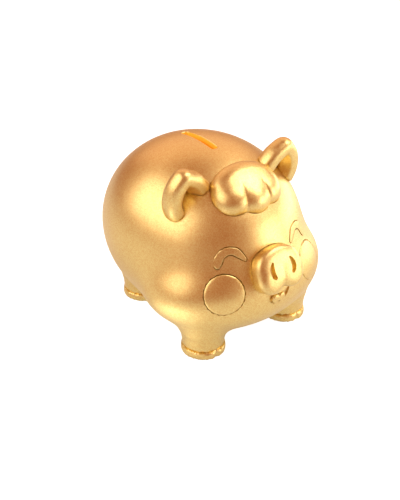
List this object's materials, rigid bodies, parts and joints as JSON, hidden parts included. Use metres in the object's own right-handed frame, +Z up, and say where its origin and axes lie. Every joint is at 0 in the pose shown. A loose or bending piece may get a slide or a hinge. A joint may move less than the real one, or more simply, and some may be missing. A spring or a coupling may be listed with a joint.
{
  "type": "piggy bank",
  "caption": "Chubby pig-shaped coin bank in satin gold: hollow shell with a coin slot in its back, plug-in ears, snout and hooves, and a pull-out belly plug.",
  "frame": {"origin": "centre of the pig's footprint box, on the plane of the hooves' soles", "axes": "-Y the way the pig faces, +Z up, +X the pig's left side"},
  "size_m": [0.12, 0.1548, 0.1149],
  "materials": {
    "gold_paint": "satin metallic gold paint on moulded vinyl",
    "raw_vinyl": "unpainted golden-yellow soft vinyl"
  },
  "bodies": {
    "shell": {"body_shell": "gold_paint", "left_ear": "gold_paint", "right_ear": "gold_paint", "forelock": "gold_paint", "snout": "gold_paint", "left_cheek": "gold_paint", "right_cheek": "gold_paint", "left_eyelid": "gold_paint", "right_eyelid": "gold_paint", "tongue": "gold_paint", "tail": "gold_paint", "front_left_hoof": "gold_paint", "front_right_hoof": "gold_paint", "rear_left_hoof": "gold_paint", "rear_right_hoof": "gold_paint"},
    "plug": {"belly_plug": "raw_vinyl"}
  },
  "joints": [
    {"name": "plug_pull", "type": "slide", "parent": "shell", "child": "plug", "axis": [0, 0, -1], "range_m": [0, 0.02]}
  ]
}
